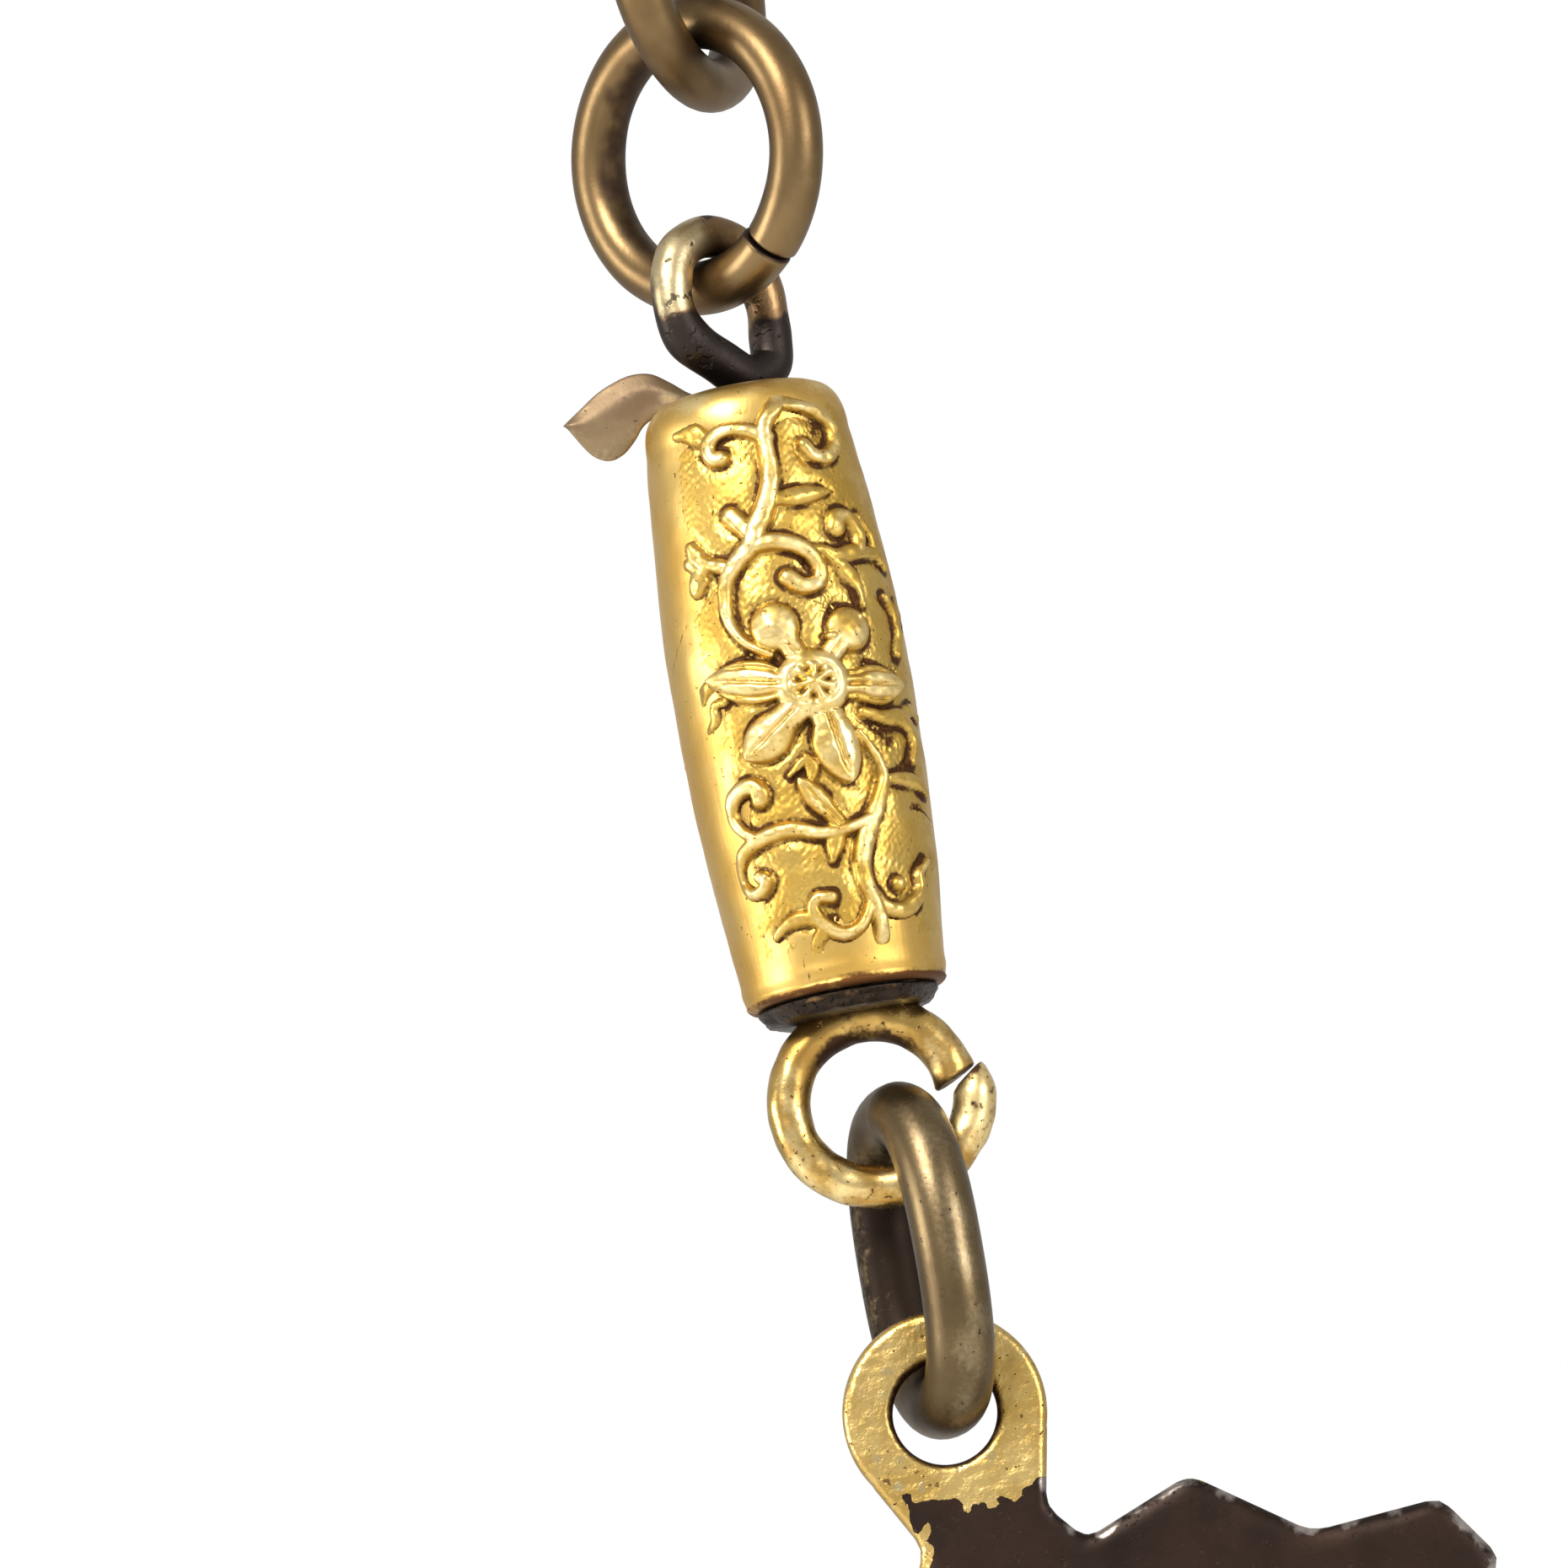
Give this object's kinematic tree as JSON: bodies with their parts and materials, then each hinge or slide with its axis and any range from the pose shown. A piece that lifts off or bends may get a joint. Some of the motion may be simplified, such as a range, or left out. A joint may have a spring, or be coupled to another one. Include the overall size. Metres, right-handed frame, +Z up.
{
  "type": "pocket watch chain end",
  "caption": "End of a pocket watch chain: round rings, a barrel catch with a wire eye and thumb leaf, a swivelling end ring, an oval link and a leaf-shaped plaque.",
  "frame": {"origin": "inside of the top of the first chain ring, where the chain is held", "axes": "+Z up along the hanging chain, -Y towards the decorated front of the barrel, +X to the viewer's right"},
  "size_m": [0.021, 0.0066, 0.0665],
  "materials": {
    "aged_brass": "aged, satin",
    "gold": "gilt, satin",
    "dark_gold": "dull",
    "blackened": "blackened",
    "steel": "plain",
    "brown_plate": "brown patina",
    "rose_brown": "matt"
  },
  "bodies": {
    "ring_1": {"chain_ring_1": "aged_brass"},
    "ring_2": {"chain_ring_2": "aged_brass"},
    "ring_3": {"chain_ring_3": "aged_brass"},
    "ring_4": {"chain_ring_4": "aged_brass"},
    "ring_5": {"chain_ring_5": "aged_brass"},
    "tongue": {"eye_loop": "aged_brass", "eye_foot": "blackened", "tongue_plate": "dark_gold", "spring_blade": "steel", "spring_rivet": "steel"},
    "thumb": {"thumb_leaf": "rose_brown"},
    "barrel": {"barrel_sleeve": "gold", "guide_bush": "dark_gold", "foot_bush": "dark_gold"},
    "swivel": {"swivel_plug": "blackened", "swivel_post": "steel", "swivel_washer": "steel", "end_ring": "gold"},
    "link": {"oval_link": "aged_brass"},
    "plaque": {"plaque": "brown_plate"}
  },
  "joints": [
    {"name": "ring_2_swing", "type": "hinge", "parent": "ring_1", "child": "ring_2", "pos_m": [0, 0, -0.0053], "axis": [0.7547, -0.6561, 0], "range_deg": [-40, 40]},
    {"name": "ring_3_swing", "type": "hinge", "parent": "ring_2", "child": "ring_3", "pos_m": [0, 0, -0.00996], "axis": [0.3746, 0.9272, 0], "range_deg": [-40, 40]},
    {"name": "ring_4_swing", "type": "hinge", "parent": "ring_3", "child": "ring_4", "pos_m": [0, 0, -0.01462], "axis": [-0.7547, 0.6561, 0], "range_deg": [-40, 40]},
    {"name": "ring_5_swing", "type": "hinge", "parent": "ring_4", "child": "ring_5", "pos_m": [-0.00038, -0.00094, -0.0191], "axis": [-0.352, -0.8713, 0.342], "range_deg": [-30, 30]},
    {"name": "eye_swing", "type": "hinge", "parent": "ring_5", "child": "tongue", "pos_m": [-0.00046, -0.00016, -0.02379], "axis": [0.7547, -0.6561, 0], "range_deg": [-35, 35]},
    {"name": "leaf_press", "type": "hinge", "parent": "tongue", "child": "thumb", "pos_m": [-0.00054, -0.00016, -0.03259], "axis": [0, 1, 0], "range_deg": [0, 3.5], "stiffness_Nm_per_rad": 0.1, "deforming": ["spring_blade"]},
    {"name": "barrel_release", "type": "slide", "parent": "tongue", "child": "barrel", "axis": [0, 0, -1], "range_m": [0, 0.0095], "deforming": ["spring_blade"]},
    {"name": "end_swivel", "type": "hinge", "parent": "barrel", "child": "swivel", "pos_m": [-0.00048, -0.00016, -0.03999], "axis": [0, 0, 1], "continuous": true},
    {"name": "link_swing", "type": "hinge", "parent": "swivel", "child": "link", "pos_m": [0.00007, -0.00016, -0.04407], "axis": [0.9766, 0, 0.2151], "range_deg": [-35, 45]},
    {"name": "plaque_swing", "type": "hinge", "parent": "link", "child": "plaque", "pos_m": [0.00007, -0.00016, -0.0491], "axis": [0, -1, 0], "range_deg": [-40, 40]}
  ]
}
